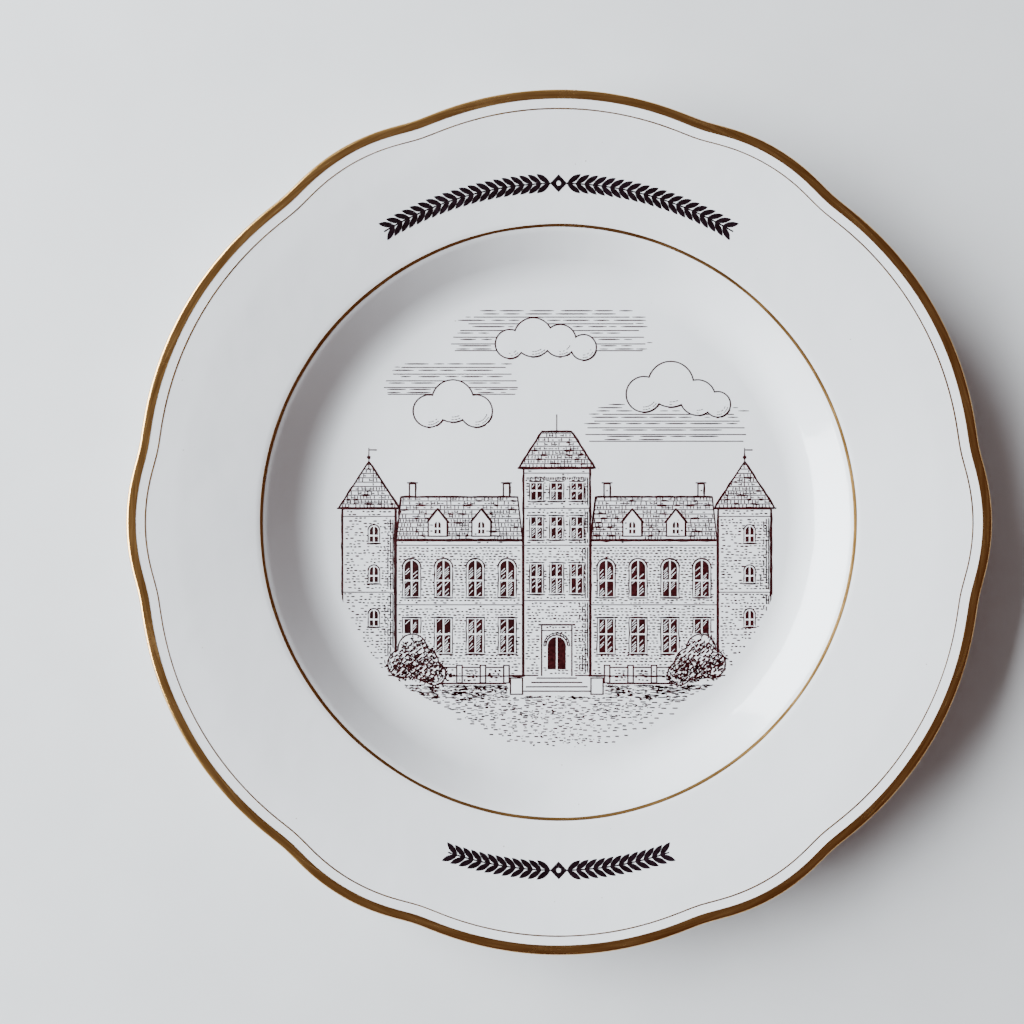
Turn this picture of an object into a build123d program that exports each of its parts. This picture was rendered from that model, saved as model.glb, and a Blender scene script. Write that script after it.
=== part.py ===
"""Souvenir plate: a glazed porcelain plate with a lobed, gilded rim and a printed view in its well.

The plate lies face up on Z = 0 with its centre on the Z axis, and the view's upright is +Y.  Millimetres.
"""

import os
from math import cos, degrees, radians, sin, sqrt

from build123d import *

os.makedirs("parts", exist_ok=True)

# Driving dimensions of the fired plate, over the glaze.
RIM_RADIUS = 122.5  # at the crest of a lobe
PLATE_HEIGHT = 22.0
RIM_THICKNESS = 3.0
FLANGE_BREAK_RADIUS = 108.5  # the flange grows flatter here
FLANGE_BREAK_HEIGHT = 19.95
FLANGE_BREAK_ROUND = 100.0
VERGE_RADIUS = 85.4  # where the well's wall turns into the flange
VERGE_HEIGHT = 15.8
VERGE_ROUND = 8.0
SHOULDER_RADIUS = 86.9  # the same turn on the underside
SHOULDER_HEIGHT = 11.6
SHOULDER_ROUND = 10.0
FLOOR_RADIUS = 74.0  # where the well's wall would meet its floor, before the cove
FLOOR_HEIGHT = 6.2
COVE_ROUND = 14.0

# The foot ring that the plate stands on.
FOOT_OUTER = 72.4
FOOT_INNER = 70.2
FOOT_HEIGHT = 2.5
FOOT_DRAFT = 1.0  # how much each side of the ring widens at its root
FOOT_ROUND = 0.6
FOOT_ROOT_ROUND = 1.2

# Skins.  The fired metal and ink films are drawn thicker than they are.
GLAZE_THICKNESS = 0.2
BARE_FOOT_HEIGHT = 0.4  # the glaze is wiped off the foot below this
FILM_THICKNESS = 0.06

# Gilding, measured inwards from the rim's edge or from the plate's axis.
GILT_BAND_WIDTH = 2.7
GILT_BAND_DEPTH = 1.5  # how far it runs down the rim's edge
GILT_HAIRLINE_INSET = 5.2
GILT_HAIRLINE_WIDTH = 0.35
GILT_VERGE_RADIUS = 85.7
GILT_VERGE_WIDTH = 0.8

# The outline is six wide lobes with six narrow ones between them.  Each lobe is an arc whose centre
# stands this far from the axis, and the dips between lobes are rounded.
LOBE_REPEATS = 6
WIDE_LOBE_OFFSET = 25.0
NARROW_LOBE_OFFSET = 64.0
DIP_ROUND = 40.0

BEYOND = 10.0  # how far the section runs past the rim before the outline cuts it

# The printed view, drawn on the well's floor and vignetted to a circle.  Its buildings are boxes:
# left, right and the height of the eaves, over a common ground line.
VIEW_RADIUS = 68.0
GROUND = -46.0
FINE_LINE = 0.28
LINE = 0.38
BOLD_LINE = 0.5
WEST_TOWER = (-64.0, -48.0, 4.0)
HALL = (-48.0, -10.0, -5.5)
GATE_TOWER = (-10.0, 10.0, 16.0)
EAST_WING = (10.0, 48.0, -5.5)
EAST_TOWER = (48.0, 64.0, 4.0)
TOWER_ROOF_HEIGHT = 14.0
HALL_ROOF_HEIGHT = 13.0
GATE_ROOF_HEIGHT = 11.0
GATE_ROOF_INSET = 7.0
GATE_WINDOW_ROWS = ((-21.25, 8.6), (-5.0, 6.4), (6.5, 5.0))  # sill and height
GATE_WINDOW_WIDTH = 3.2
GATE_COURSES = (-23.5, -7.0, 4.0)
GATE_WINDOW_SPACING = 6.0
PORCH = (-4.5, 4.5, -31.0)
STEPS = (-10.0, 10.0)
TERRACE_WALLS = ((-36.0, -15.0), (15.0, 36.0))
TERRACE_TOP = -43.4
PIER_SPACING = 7.0
PIER_RISE = 0.8
TOWER_SILLS = (-6, -18, -31)
HALL_BAYS = 4
HALL_DORMERS = (-35.5, -22.5)
HALL_CHIMNEYS = (-43, -15)
EAST_WING_BAYS = 4
EAST_WING_DORMERS = (22.5, 35.5)
EAST_WING_CHIMNEYS = (15, 43)
CHIMNEY_WIDTH = 2.2
CHIMNEY_HEIGHT = 5.0
DORMER_WIDTH = 6.0
DORMER_HEIGHT = 8.5
HALL_WINDOW_WIDTH = 4.2
MULLION = 0.5
TILE_ROW = 1.3
STEP_COUNT = 4

GOLDEN_ANGLE = 137.5  # degrees; sets leaves out evenly, and makes ragged ends look random

# The sky: drifts of level strokes as left, right, low and high, with ragged ends, and clouds as heaps of
# circles, each x, y and radius.
SKY_STROKE_SPACING = 2.0
SKY_RAGGEDNESS = 3.5
SKY_DRIFTS = ((-48, -14, 38, 48), (12, 54, 24, 35), (-28, 24, 51, 63))
CLOUDS = (
    ((-38, 33, 5), (-31, 36, 6.5), (-24, 33, 5)),
    ((26, 38, 5.5), (34, 41, 7), (42, 37, 5.5), (48, 35, 4)),
    ((-14, 53, 4.5), (-7, 55, 6), (1, 54, 5), (8, 52, 4)),
)

# The bushes as heaps of circles, and the ellipses that their leaves fill.
BUSHES = (
    ((-46, -42.3, 4.5), (-40, -42.3, 5), (-43, -37.8, 4.5), (-36.5, -45.3, 3.6)),
    ((46, -42.3, 4.5), (40, -42.3, 5), (43, -37.8, 4.5), (36.5, -45.3, 3.6)),
)
BUSH_LEAVES = ((-41.5, -41.8, 8, 6.5), (41.5, -41.8, 8, 6.5))
LEAVES_PER_BUSH = 90
GRAVEL_ROWS = 8
GRAVEL_DASHES = 22

# The two leaf ornaments on the flange: radius of the stem, and half the angle it spans.
UPPER_STEM = (97.0, 31.0)
LOWER_STEM = (99.5, 18.5)
LEAF_LENGTH = 4.6
LEAF_WIDTH = 1.5
LEAF_SPACING = 2.45  # along the stem
LEAF_SPLAY = 34.0  # degrees between a leaf and the stem


def lobed_outline(inset):
    """The plate's outline as a sketch, moved inwards by inset."""
    half_lobe = 180 / LOBE_REPEATS
    with BuildSketch() as outline:
        with PolarLocations(WIDE_LOBE_OFFSET, LOBE_REPEATS, start_angle=half_lobe):
            Circle(RIM_RADIUS - WIDE_LOBE_OFFSET - inset)
        with PolarLocations(NARROW_LOBE_OFFSET, LOBE_REPEATS):
            Circle(RIM_RADIUS - NARROW_LOBE_OFFSET - inset)
        fillet(outline.vertices(), DIP_ROUND + inset)
    return outline.sketch


def grown(corners, skin):
    """Moves each corner of a counterclockwise outline outwards, so that every side moves by skin."""
    moved = []
    for before, corner, after in zip(corners[-1:] + corners[:-1], corners, corners[1:] + corners[:1]):
        first = (corner - before).normalized().rotate(Axis.Z, -90)
        second = (after - corner).normalized().rotate(Axis.Z, -90)
        moved.append(corner + (first + second) * (skin / (1 + first.dot(second))))
    return moved


def plate_section(skin):
    """Half of the plate's section as a sketch, grown all round by skin, or shrunk where it is negative."""
    past_rim = RIM_RADIUS + BEYOND
    top_slope = (PLATE_HEIGHT - FLANGE_BREAK_HEIGHT) / (RIM_RADIUS - FLANGE_BREAK_RADIUS)
    past_top = PLATE_HEIGHT + BEYOND * top_slope
    under_slope = (PLATE_HEIGHT - RIM_THICKNESS - SHOULDER_HEIGHT) / (RIM_RADIUS - SHOULDER_RADIUS)
    past_under = SHOULDER_HEIGHT + under_slope * (past_rim - SHOULDER_RADIUS)
    corners = grown(
        [
            Vector(FOOT_INNER - FOOT_DRAFT, FOOT_HEIGHT),
            Vector(FOOT_INNER, 0),
            Vector(FOOT_OUTER, 0),
            Vector(FOOT_OUTER + FOOT_DRAFT, FOOT_HEIGHT * 0.7),
            Vector(SHOULDER_RADIUS, SHOULDER_HEIGHT),
            Vector(past_rim, past_under),
            Vector(past_rim, past_top),
            Vector(FLANGE_BREAK_RADIUS, FLANGE_BREAK_HEIGHT),
            Vector(VERGE_RADIUS, VERGE_HEIGHT),
            Vector(FLOOR_RADIUS, FLOOR_HEIGHT),
            Vector(-FLOOR_RADIUS, FLOOR_HEIGHT),
            Vector(FOOT_DRAFT - FOOT_INNER, FOOT_HEIGHT),
        ],
        skin,
    )
    root, sole, outer_sole, outer_root, shoulder, rim_under, rim_top, flange_break = corners[:8]
    verge, floor_edge = corners[8:10]
    with BuildSketch() as section:
        with BuildLine():
            Polyline(*corners, close=True)
        make_face()
        rounds = (
            (root, FOOT_ROOT_ROUND - skin),
            (sole, FOOT_ROUND + skin),
            (outer_sole, FOOT_ROUND + skin),
            (outer_root, FOOT_ROOT_ROUND - skin),
            (shoulder, SHOULDER_ROUND - skin),
            (flange_break, FLANGE_BREAK_ROUND + skin),
            (verge, VERGE_ROUND + skin),
            (floor_edge, COVE_ROUND - skin),
        )
        for corner, radius in rounds:
            fillet(section.vertices().sort_by_distance(corner)[0], radius)
        with Locations((-RIM_RADIUS, 0)):
            Rectangle(2 * RIM_RADIUS, 2 * RIM_RADIUS, mode=Mode.SUBTRACT)
    return section.sketch


glazed_section = plate_section(0)
film_section = plate_section(FILM_THICKNESS)

# The unglazed porcelain inside, which comes to the surface only on the foot ring's sole.
with BuildPart() as biscuit_body:
    with BuildSketch(Plane.XZ):
        add(glazed_section)
        Rectangle(RIM_RADIUS, BARE_FOOT_HEIGHT, align=(Align.MIN, Align.MIN), mode=Mode.INTERSECT)
        add(plate_section(-GLAZE_THICKNESS))
    revolve(axis=Axis.Z)
    with BuildSketch(Plane.XY.offset(-BEYOND)):
        add(lobed_outline(GLAZE_THICKNESS))
    extrude(amount=PLATE_HEIGHT + 2 * BEYOND, mode=Mode.INTERSECT)
biscuit_body.part.label = "biscuit_body"
export_step(biscuit_body.part, "parts/biscuit_body.step")

with BuildPart() as glaze_coat:
    with BuildSketch(Plane.XZ):
        add(glazed_section)
    revolve(axis=Axis.Z)
    with BuildSketch(Plane.XY.offset(-BEYOND)):
        add(lobed_outline(0))
    extrude(amount=PLATE_HEIGHT + 2 * BEYOND, mode=Mode.INTERSECT)
    add(biscuit_body.part, mode=Mode.SUBTRACT)
glaze_coat.part.label = "glaze_coat"
export_step(glaze_coat.part, "parts/glaze_coat.step")

# A thin film over the whole of the glaze's upper face.  Each fired-on line is a piece of it.
with BuildPart() as film:
    with BuildSketch(Plane.XZ):
        add(film_section)
        add(glazed_section, mode=Mode.SUBTRACT)
    revolve(axis=Axis.Z)

# The edge band lies over the top of the rim and a little way down its side.
with BuildPart() as gilt_rim_band:
    add(film.part)
    with BuildSketch(Plane.XY.offset(PLATE_HEIGHT - GILT_BAND_DEPTH)):
        add(lobed_outline(0))
        add(lobed_outline(GILT_BAND_WIDTH), mode=Mode.SUBTRACT)
    extrude(amount=BEYOND, mode=Mode.INTERSECT)
gilt_rim_band.part.label = "gilt_rim_band"
export_step(gilt_rim_band.part, "parts/gilt_rim_band.step")

with BuildPart() as gilt_hairline:
    add(film.part)
    with BuildSketch(Plane.XY.offset(PLATE_HEIGHT - GILT_BAND_DEPTH)):
        add(lobed_outline(GILT_HAIRLINE_INSET))
        add(lobed_outline(GILT_HAIRLINE_INSET + GILT_HAIRLINE_WIDTH), mode=Mode.SUBTRACT)
    extrude(amount=BEYOND, mode=Mode.INTERSECT)
gilt_hairline.part.label = "gilt_hairline"
export_step(gilt_hairline.part, "parts/gilt_hairline.step")

with BuildPart() as gilt_verge_line:
    add(film.part)
    with BuildSketch(Plane.XY.offset(VERGE_HEIGHT - GILT_BAND_DEPTH)):
        Circle(GILT_VERGE_RADIUS + GILT_VERGE_WIDTH / 2)
        Circle(GILT_VERGE_RADIUS - GILT_VERGE_WIDTH / 2, mode=Mode.SUBTRACT)
    extrude(amount=BEYOND, mode=Mode.INTERSECT)
gilt_verge_line.part.label = "gilt_verge_line"
export_step(gilt_verge_line.part, "parts/gilt_verge_line.step")

# The printed view is drawn flat on the floor, nearest things last.  Each helper below adds its ink to
# the sketch in hand, and a panel blanks out what is behind it.
view_plane = Plane.XY.offset(FLOOR_HEIGHT)


def panel(*corners, line=LINE):
    """A blank polygon with an inked edge."""
    with BuildSketch() as shape:
        Polygon(*corners, align=None)
    add(shape.sketch)
    add(offset(shape.sketch, -line, kind=Kind.INTERSECTION, mode=Mode.PRIVATE), mode=Mode.SUBTRACT)


def box_panel(left, bottom, right, top, line=LINE):
    """A blank rectangle with an inked edge."""
    panel((left, bottom), (right, bottom), (right, top), (left, top), line=line)


def bar(left, right, y, line=FINE_LINE):
    """A level stroke."""
    with Locations(((left + right) / 2, y)):
        Rectangle(right - left, line)


def post(x, bottom, top, line=FINE_LINE):
    """An upright stroke."""
    with Locations((x, (bottom + top) / 2)):
        Rectangle(line, top - bottom)


def windows(places, width, height, arched):
    """Windows of four dark panes, each place being the middle of a sill."""
    with BuildSketch() as panes:
        with Locations((0, height / 2)):
            Rectangle(width, height)
        if arched:
            with Locations((0, height)):
                Circle(width / 2)
        post(0, 0, height + width, MULLION)
        with Locations((0, height * 0.55)):
            Rectangle(MULLION, height + 2 * width, mode=Mode.SUBTRACT)
            Rectangle(width, MULLION, mode=Mode.SUBTRACT)
    with Locations(*places):
        add(panes.sketch)


def courses(left, right, low, high, spacing, line=FINE_LINE):
    """Level strokes at an even spacing between two heights."""
    count = int((high - low) / spacing)
    with Locations(*[((left + right) / 2, low + spacing * (n + 1)) for n in range(count)]):
        Rectangle(right - left, line)


def tiled_roof(left, right, eaves, ridge, inset):
    """A roof seen square on, with its rows of tiles."""
    with BuildSketch() as tiles:
        courses(left, right, eaves, ridge, TILE_ROW)
        Polygon((left, eaves), (right, eaves), (right - inset, ridge), (left + inset, ridge), align=None,
                mode=Mode.INTERSECT)
    panel((left, eaves), (right, eaves), (right - inset, ridge), (left + inset, ridge))
    add(tiles.sketch)


def round_tower(box, sills):
    """A round tower with a conical roof, a ball and a vane."""
    left, right, eaves = box
    x = (left + right) / 2
    apex = eaves + TOWER_ROOF_HEIGHT
    box_panel(left, GROUND, right, eaves)
    bar(left, right, eaves - 2.4)
    bar(left, right, (eaves + GROUND) / 2)
    windows([(x + 1.5, sill) for sill in sills], 2.4, 3.4, arched=True)
    tiled_roof(left - 1.2, right + 1.2, eaves, apex, (right - left) / 2 + 1)
    post(x, apex - 1, apex + 4)
    with Locations((x, apex + 1.2)):
        Circle(0.55)
    bar(x, x + 2.4, apex + 3.4, LINE)


def dormer(x, sill):
    """A gabled dormer with one window."""
    half, eaves, apex = DORMER_WIDTH / 2, sill + DORMER_HEIGHT * 0.55, sill + DORMER_HEIGHT
    panel((x - half, sill), (x + half, sill), (x + half, eaves), (x, apex), (x - half, eaves))
    windows([(x, sill + 1)], 1.8, 2.6, arched=True)


def wing(box, bays, dormers, chimneys):
    """A two-storey range under a tiled roof."""
    left, right, eaves = box
    ridge = eaves + HALL_ROOF_HEIGHT
    for x in chimneys:
        half, top = CHIMNEY_WIDTH / 2, ridge - 1 + CHIMNEY_HEIGHT
        box_panel(x - half, ridge - 1, x + half, top)
        bar(x - half - 0.5, x + half + 0.5, top + 0.1, LINE)
    tiled_roof(left, right, eaves, ridge, 1.5)
    for x in dormers:
        dormer(x, eaves + 1)
    box_panel(left, GROUND, right, eaves)
    bar(left, right, eaves - 1.5)
    bar(left, right, (eaves + GROUND) / 2 + 1)
    middles = [left + (right - left) * (bay + 0.5) / bays for bay in range(bays)]
    windows([(x, (eaves + GROUND) / 2 + 3.5) for x in middles], HALL_WINDOW_WIDTH, 8.6, arched=True)
    windows([(x, GROUND + 7) for x in middles], HALL_WINDOW_WIDTH, 10, arched=False)


def heap(circles, inset=0):
    """The sketch of a heap of circles, each x, y and radius, moved inwards by inset."""
    with BuildSketch() as shape:
        for x, y, radius in circles:
            with Locations((x, y)):
                Circle(radius - inset)
    return shape.sketch


def blank_box(left, bottom, right, top):
    """Clears a rectangle for what stands in front."""
    with Locations(((left + right) / 2, (bottom + top) / 2)):
        Rectangle(right - left, top - bottom, mode=Mode.SUBTRACT)


def blank_bushes():
    """Clears the space of the bushes, which stand in front of everything."""
    for bush in BUSHES:
        add(heap(bush), mode=Mode.SUBTRACT)


def blank_terrace():
    """Clears the space of the terrace walls."""
    for left, right in TERRACE_WALLS:
        blank_box(left - 1, GROUND - 1, right + 1, TERRACE_TOP + PIER_RISE + LINE)


def blank_tower(box, roof_height):
    """Clears the sky behind a tower, its roof and its vane."""
    left, right, eaves = box
    x, apex = (left + right) / 2, eaves + roof_height
    foot = ((left - 2, GROUND), (right + 2, GROUND))
    head = ((right + 2, eaves + 3), (x + 3.6, apex + 5), (x - 1, apex + 5), (left - 2, eaves + 3))
    Polygon(*foot, *head, align=None, mode=Mode.SUBTRACT)


with BuildPart() as print_west_tower:
    with BuildSketch(view_plane):
        round_tower(WEST_TOWER, TOWER_SILLS)
        blank_bushes()
        Circle(VIEW_RADIUS, mode=Mode.INTERSECT)
    extrude(amount=FILM_THICKNESS)
print_west_tower.part.label = "print_west_tower"
export_step(print_west_tower.part, "parts/print_west_tower.step")

with BuildPart() as print_hall:
    with BuildSketch(view_plane):
        wing(HALL, HALL_BAYS, HALL_DORMERS, HALL_CHIMNEYS)
        blank_terrace()
        blank_bushes()
    extrude(amount=FILM_THICKNESS)
print_hall.part.label = "print_hall"
export_step(print_hall.part, "parts/print_hall.step")

with BuildPart() as print_east_wing:
    with BuildSketch(view_plane):
        wing(EAST_WING, EAST_WING_BAYS, EAST_WING_DORMERS, EAST_WING_CHIMNEYS)
        blank_terrace()
        blank_bushes()
    extrude(amount=FILM_THICKNESS)
print_east_wing.part.label = "print_east_wing"
export_step(print_east_wing.part, "parts/print_east_wing.step")

with BuildPart() as print_east_tower:
    with BuildSketch(view_plane):
        round_tower(EAST_TOWER, TOWER_SILLS)
        blank_bushes()
        Circle(VIEW_RADIUS, mode=Mode.INTERSECT)
    extrude(amount=FILM_THICKNESS)
print_east_tower.part.label = "print_east_tower"
export_step(print_east_tower.part, "parts/print_east_tower.step")

with BuildPart() as print_gate_tower:
    with BuildSketch(view_plane):
        left, right, eaves = GATE_TOWER
        x, ridge = (left + right) / 2, eaves + GATE_ROOF_HEIGHT
        tiled_roof(left - 1.5, right + 1.5, eaves, ridge, GATE_ROOF_INSET)
        post(x, ridge - 0.5, ridge + 5)
        box_panel(left, GROUND, right, eaves)
        bar(left, right, eaves - 1.5)
        for y in GATE_COURSES:
            bar(left, right, y)
        for sill, height in GATE_WINDOW_ROWS:
            places = [(x + side * GATE_WINDOW_SPACING, sill) for side in (-1, 0, 1)]
            windows(places, GATE_WINDOW_WIDTH, height, arched=False)
        blank_box(PORCH[0] - 1, GROUND - 1, PORCH[1] + 1, PORCH[2] + 1)
    extrude(amount=FILM_THICKNESS)
print_gate_tower.part.label = "print_gate_tower"
export_step(print_gate_tower.part, "parts/print_gate_tower.step")

with BuildPart() as print_porch:
    with BuildSketch(view_plane):
        left, right, eaves = PORCH
        x, opening = (left + right) / 2, (right - left) * 0.3
        with Locations((x, GROUND + 9)):
            Circle(opening)
        with Locations((x, GROUND + 5.5)):
            Rectangle(2 * opening, 7)
            Rectangle(MULLION, 30, mode=Mode.SUBTRACT)
        bar(left - 1, right + 1, eaves + 0.3, BOLD_LINE)
        bar(left, right, eaves - 1.4)
        post(left, GROUND, eaves, LINE)
        post(right, GROUND, eaves, LINE)
    extrude(amount=FILM_THICKNESS)
print_porch.part.label = "print_porch"
export_step(print_porch.part, "parts/print_porch.step")

with BuildPart() as print_steps:
    with BuildSketch(view_plane):
        left, right = STEPS
        for step in range(STEP_COUNT):
            bar(left + 4 - step * 1.6, right - 4 + step * 1.6, GROUND - 0.6 - step * 1.3, LINE)
        box_panel(left - 4, GROUND - 5.6, left, GROUND - 0.4)
        box_panel(right, GROUND - 5.6, right + 4, GROUND - 0.4)
    extrude(amount=FILM_THICKNESS)
print_steps.part.label = "print_steps"
export_step(print_steps.part, "parts/print_steps.step")

# A plain low wall on either side of the steps, with square piers.
with BuildPart() as print_terrace:
    with BuildSketch(view_plane):
        for left, right in TERRACE_WALLS:
            bar(left, right, TERRACE_TOP, LINE)
            bar(left, right, GROUND - 2.2, BOLD_LINE)
            for n in range(round((right - left) / PIER_SPACING) + 1):
                x = left + PIER_SPACING * n
                box_panel(x - 1, GROUND - 2.2, x + 1, TERRACE_TOP + PIER_RISE)
        blank_bushes()
    extrude(amount=FILM_THICKNESS)
print_terrace.part.label = "print_terrace"
export_step(print_terrace.part, "parts/print_terrace.step")

# Three clouds and the drifts of level strokes behind them.
with BuildPart() as print_clouds:
    with BuildSketch(view_plane):
        for left, right, low, high in SKY_DRIFTS:
            for row in range(int((high - low) / SKY_STROKE_SPACING)):
                ragged = SKY_RAGGEDNESS * sin(GOLDEN_ANGLE * (row + 1))
                bar(left + ragged, right - ragged * 0.7, low + row * SKY_STROKE_SPACING)
        for cloud in CLOUDS:
            add(heap(cloud))
            add(heap(cloud, LINE), mode=Mode.SUBTRACT)
        blank_tower(WEST_TOWER, TOWER_ROOF_HEIGHT)
        blank_tower(GATE_TOWER, GATE_ROOF_HEIGHT)
        blank_tower(EAST_TOWER, TOWER_ROOF_HEIGHT)
        Circle(VIEW_RADIUS, mode=Mode.INTERSECT)
    extrude(amount=FILM_THICKNESS)
print_clouds.part.label = "print_clouds"
export_step(print_clouds.part, "parts/print_clouds.step")

# A pair of bushes, one at either side, filled with short leaf strokes set out on a spiral.
with BuildPart() as print_shrubs:
    with BuildSketch(view_plane):
        for x, y, width, height in BUSH_LEAVES:
            leaf_places = []
            for leaf in range(LEAVES_PER_BUSH):
                reach = sqrt((leaf + 0.5) / LEAVES_PER_BUSH)
                turn = radians(GOLDEN_ANGLE * leaf)
                leaf_places.append((x + width * reach * cos(turn), y + height * reach * sin(turn)))
            with Locations(*leaf_places):
                SlotCenterToCenter(0.8, 0.5, rotation=40)
        with BuildSketch(mode=Mode.PRIVATE) as edges:
            for bush in BUSHES:
                add(heap(bush))
                add(heap(bush, LINE), mode=Mode.SUBTRACT)
        add(heap(sum(BUSHES, ())), mode=Mode.INTERSECT)
        add(edges.sketch)
        Circle(VIEW_RADIUS, mode=Mode.INTERSECT)
    extrude(amount=FILM_THICKNESS)
print_shrubs.part.label = "print_shrubs"
export_step(print_shrubs.part, "parts/print_shrubs.step")

# Gravel: rows of dashes that thin out towards the viewer.
with BuildPart() as print_forecourt:
    with BuildSketch(view_plane):
        for row in range(GRAVEL_ROWS):
            y = GROUND - 7.5 - row * 1.7
            half = sqrt(VIEW_RADIUS**2 - y**2) * 0.9
            count = GRAVEL_DASHES - row
            starts = [-half + 2 * half * ((n + 0.37 * row) % count + 0.5) / count for n in range(count)]
            with Locations(*[(start, y + 0.4 * sin(GOLDEN_ANGLE * n)) for n, start in enumerate(starts)]):
                SlotCenterToCenter(1.3 - 0.08 * row, 0.35)
        blank_bushes()
    extrude(amount=FILM_THICKNESS)
print_forecourt.part.label = "print_forecourt"
export_step(print_forecourt.part, "parts/print_forecourt.step")


def leaf_spray(radius, half_angle, middle):
    """A stem along an arc of the flange, with leaves in pairs that point away from its middle."""
    with BuildSketch() as leaf:
        with BuildLine():
            SagittaArc((0, 0), (LEAF_LENGTH, 0), LEAF_WIDTH / 2)
            SagittaArc((LEAF_LENGTH, 0), (0, 0), LEAF_WIDTH / 2)
        make_face()
    pitch = degrees(LEAF_SPACING / radius)
    pairs = int((half_angle - pitch) / pitch)
    with BuildSketch() as spray:
        with BuildLine():
            CenterArc((0, 0), radius, middle - half_angle, 2 * half_angle)
        trace(line_width=LINE)
        for side in (-1, 1):
            for pair in range(1, pairs + 1):
                angle = middle + side * pair * pitch
                for splay in (-LEAF_SPLAY, LEAF_SPLAY):
                    heading = angle + side * 90 + splay
                    root = (radius * cos(radians(angle)), radius * sin(radians(angle)))
                    with Locations(Location(root, heading)):
                        add(leaf.sketch)
        with PolarLocations(radius, 1, start_angle=middle):
            RegularPolygon(LEAF_WIDTH * 1.6, 4)
            Circle(LEAF_WIDTH * 0.45, mode=Mode.SUBTRACT)
    return spray.sketch


ORNAMENTS = (("ornament_upper", UPPER_STEM, 90), ("ornament_lower", LOWER_STEM, -90))
for label, (radius, half_angle), middle in ORNAMENTS:
    with BuildPart() as ornament:
        add(film.part)
        with BuildSketch(Plane.XY.offset(VERGE_HEIGHT)):
            add(leaf_spray(radius, half_angle, middle))
        extrude(amount=BEYOND, mode=Mode.INTERSECT)
    ornament.part.label = label
    export_step(ornament.part, f"parts/{label}.step")
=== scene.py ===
"""Looks for the souvenir plate: its glaze and gilding, pen work in the printed view, light and camera."""

import math
import random

import bmesh
import bpy
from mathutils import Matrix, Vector
from mathutils.bvhtree import BVHTree


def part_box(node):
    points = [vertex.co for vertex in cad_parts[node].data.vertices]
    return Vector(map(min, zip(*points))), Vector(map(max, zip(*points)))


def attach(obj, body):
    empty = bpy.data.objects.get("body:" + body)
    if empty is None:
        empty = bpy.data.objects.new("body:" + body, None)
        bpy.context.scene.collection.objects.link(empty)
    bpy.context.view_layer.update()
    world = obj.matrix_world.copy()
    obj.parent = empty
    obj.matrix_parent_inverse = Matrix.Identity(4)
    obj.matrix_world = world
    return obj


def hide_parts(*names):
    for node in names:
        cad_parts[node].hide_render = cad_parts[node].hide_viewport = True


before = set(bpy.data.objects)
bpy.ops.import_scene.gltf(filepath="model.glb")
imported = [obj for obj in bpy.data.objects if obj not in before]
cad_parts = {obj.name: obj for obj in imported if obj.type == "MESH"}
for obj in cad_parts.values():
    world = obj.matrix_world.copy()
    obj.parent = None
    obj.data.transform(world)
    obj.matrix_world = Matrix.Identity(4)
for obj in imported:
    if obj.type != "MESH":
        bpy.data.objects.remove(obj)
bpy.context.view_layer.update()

MM = 0.001
rng = random.Random(7)

# The plate's section, as in the CAD: radius, height and rounding of each corner, in millimetres.
RIM = min(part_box("glaze_coat")[1][:2]) / MM - 0.06
FLOOR_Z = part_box("print_hall")[0][2] / MM
RIM_TOP_Z, RIM_UNDER_Z = 22.0, 19.0
RIM_TOP_ROUND, RIM_UNDER_ROUND = 0.85, 1.5
VERGE = (85.4, 15.8, 8.0)
COVE = (74.0, FLOOR_Z, 14.0)
FLANGE_BREAK = (108.5, 19.95, 100.0)
SHOULDER = (86.9, 11.6, 10.0)
FOOT_ROOT_OUTER = (73.4, 1.75, 1.2)
FOOT_SOLE_OUTER = (72.4, 0.0, 0.6)
FOOT_SOLE_INNER = (70.2, 0.0, 0.6)
FOOT_ROOT_INNER = (69.2, 2.5, 1.2)
BARE_FOOT_Z = 0.4
GLAZE_THICKNESS = 0.2

# The lobed outline: each lobe is an arc whose centre stands this far from the axis.
LOBES = 6
WIDE_OFFSET, NARROW_OFFSET = 25.0, 64.0
DIP_SOFTNESS = 0.55
TURN_STEPS = 480


# ---------------------------------------------------------------- small helpers

def new_mesh(name, verts, faces, smooth=True):
    """An object from vertices in millimetres."""
    mesh = bpy.data.meshes.new(name)
    mesh.from_pydata([(x * MM, y * MM, z * MM) for x, y, z in verts], [], faces)
    mesh.validate()
    mesh.polygons.foreach_set("use_smooth", [smooth] * len(mesh.polygons))
    mesh.update()
    obj = bpy.data.objects.new(name, mesh)
    bpy.context.collection.objects.link(obj)
    return obj


def rounded(corners, step=2.6, arc_step=math.radians(2.0)):
    """The points of a polyline with rounded inner corners, each being radius, height and rounding."""
    points = [Vector(corners[0][:2])]
    for before, corner, after in zip(corners, corners[1:], corners[2:]):
        here = Vector(corner[:2])
        back = (Vector(before[:2]) - here).normalized()
        ahead = (Vector(after[:2]) - here).normalized()
        opening = back.angle(ahead)
        reach = corner[2] / math.tan(opening / 2)
        centre = here + (back + ahead).normalized() * (corner[2] / math.sin(opening / 2))
        start = here + back * reach - centre
        turn = math.pi - opening
        sign = 1 if start.y * back.x - start.x * back.y > 0 else -1
        count = max(4, round(turn / arc_step))
        extend(points, centre + start, step)
        for n in range(1, count + 1):
            angle = sign * turn * n / count
            c, s = math.cos(angle), math.sin(angle)
            points.append(centre + Vector((start.x * c - start.y * s, start.x * s + start.y * c)))
    extend(points, Vector(corners[-1][:2]), step)
    return points


def extend(points, goal, step):
    """Adds a straight run to the last point, in even steps."""
    start = points[-1].copy()
    count = max(1, math.ceil((goal - start).length / step))
    for n in range(1, count + 1):
        points.append(start.lerp(goal, n / count))


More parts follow.
